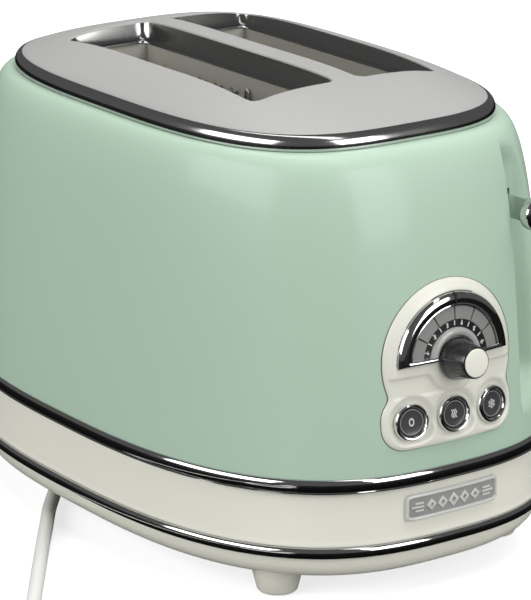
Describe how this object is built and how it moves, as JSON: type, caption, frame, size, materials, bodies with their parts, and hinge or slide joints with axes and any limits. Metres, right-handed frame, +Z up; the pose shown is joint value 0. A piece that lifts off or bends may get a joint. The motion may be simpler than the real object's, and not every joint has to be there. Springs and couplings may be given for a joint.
{
  "type": "pop up toaster",
  "caption": "Two slot pop up toaster with a domed steel top, a curved enamelled body, a cream base band, a knob, buttons, a side lever and a crumb tray.",
  "frame": {"origin": "on the surface the feet stand on, under the middle of the whole toaster", "axes": "+X along the length towards the controls, +Y across, +Z up"},
  "size_m": [0.3795, 0.3214, 0.2],
  "materials": {
    "mint_enamel": "gloss enamel",
    "cream_plastic": "semi-gloss",
    "polished_chrome": "polished",
    "satin_steel": "satin",
    "black_plastic": "gloss",
    "grey_plastic": "satin",
    "galvanised_sheet": "dull",
    "steel_wire": "satin",
    "magnet_iron": "dull",
    "copper_coil": "enamelled wire",
    "mica": "flaky",
    "resistance_ribbon": "oxidised",
    "circuit_board": "solder mask",
    "rubber_foot": "matt",
    "white_cord": "satin vinyl",
    "plug_brass": "plated"
  },
  "bodies": {
    "housing": {"body_shell": "mint_enamel", "base_skirt": "cream_plastic", "base_pan": "cream_plastic", "feet": "cream_plastic", "control_panel": "cream_plastic", "cord_gland": "cream_plastic", "top_rim": "polished_chrome", "upper_trim": "polished_chrome", "lower_trim": "polished_chrome", "slot_liner_near": "polished_chrome", "slot_liner_far": "polished_chrome", "dial_bezel": "polished_chrome", "dial_inner_ring": "polished_chrome", "button_bezels": "polished_chrome", "badge_plate": "polished_chrome", "top_plate": "satin_steel", "dial_face": "grey_plastic", "rotary_control": "grey_plastic", "board_switches": "grey_plastic", "cord_tie": "grey_plastic", "slot_sleeves": "galvanised_sheet", "chassis_floor": "galvanised_sheet", "chassis_front_plate": "galvanised_sheet", "chassis_rear_plate": "galvanised_sheet", "side_shields": "galvanised_sheet", "guide_rod": "steel_wire", "return_springs": "steel_wire", "base_screws": "steel_wire", "board_screws": "steel_wire", "magnet_core": "magnet_iron", "magnet_bobbin": "copper_coil", "heater_boards": "mica", "heater_ribbons": "resistance_ribbon", "control_board": "circuit_board", "foot_pads": "rubber_foot", "strain_relief": "white_cord", "mains_cord": "white_cord", "cord_coil": "white_cord", "plug_body": "white_cord", "plug_pins": "plug_brass"},
    "carriage": {"carriage": "galvanised_sheet", "bread_rack_near": "steel_wire", "bread_rack_far": "steel_wire", "armature_plate": "magnet_iron", "lever_arm": "polished_chrome", "lever_knob": "polished_chrome"},
    "guard_near_outer": {"guard_near_outer": "steel_wire"},
    "guard_near_inner": {"guard_near_inner": "steel_wire"},
    "guard_far_inner": {"guard_far_inner": "steel_wire"},
    "guard_far_outer": {"guard_far_outer": "steel_wire"},
    "knob": {"browning_knob": "black_plastic", "knob_cap": "cream_plastic", "control_shaft": "steel_wire"},
    "cancel": {"button_cancel": "grey_plastic"},
    "reheat": {"button_reheat": "grey_plastic"},
    "defrost": {"button_defrost": "grey_plastic"},
    "tray": {"crumb_tray": "galvanised_sheet", "crumb_tray_front": "cream_plastic"}
  },
  "joints": [
    {"name": "bread_lift", "type": "slide", "parent": "housing", "child": "carriage", "axis": [0, 0, 1], "range_m": [-0.06, 0], "stiffness_N_per_m": 60, "springref_m": 0.05},
    {"name": "guard_near_outer_close", "type": "slide", "parent": "housing", "child": "guard_near_outer", "axis": [0, 1, 0], "range_m": [0, 0.006]},
    {"name": "guard_near_inner_close", "type": "slide", "parent": "housing", "child": "guard_near_inner", "axis": [0, 1, 0], "range_m": [-0.006, 0]},
    {"name": "guard_far_inner_close", "type": "slide", "parent": "housing", "child": "guard_far_inner", "axis": [0, 1, 0], "range_m": [0, 0.006]},
    {"name": "guard_far_outer_close", "type": "slide", "parent": "housing", "child": "guard_far_outer", "axis": [0, 1, 0], "range_m": [-0.006, 0]},
    {"name": "browning_turn", "type": "hinge", "parent": "housing", "child": "knob", "pos_m": [0.13155, 0, 0.0975], "axis": [0.9945, 0, 0.1045], "range_deg": [-85, 85]},
    {"name": "cancel_press", "type": "slide", "parent": "housing", "child": "cancel", "axis": [0.9843, -0.1429, 0.1035], "range_m": [-0.0015, 0], "stiffness_N_per_m": 400, "springref_m": 0.001},
    {"name": "reheat_press", "type": "slide", "parent": "housing", "child": "reheat", "axis": [0.9945, 0, 0.1045], "range_m": [-0.0015, 0], "stiffness_N_per_m": 400, "springref_m": 0.001},
    {"name": "defrost_press", "type": "slide", "parent": "housing", "child": "defrost", "axis": [0.9843, 0.1429, 0.1035], "range_m": [-0.0015, 0], "stiffness_N_per_m": 400, "springref_m": 0.001},
    {"name": "tray_pull", "type": "slide", "parent": "housing", "child": "tray", "axis": [-1, 0, 0], "range_m": [0, 0.18]}
  ],
  "couplings": [
    {"joint": "guard_near_outer_close", "follows": "bread_lift", "ratio": -0.1},
    {"joint": "guard_near_inner_close", "follows": "bread_lift", "ratio": 0.1},
    {"joint": "guard_far_inner_close", "follows": "bread_lift", "ratio": -0.1},
    {"joint": "guard_far_outer_close", "follows": "bread_lift", "ratio": 0.1}
  ]
}
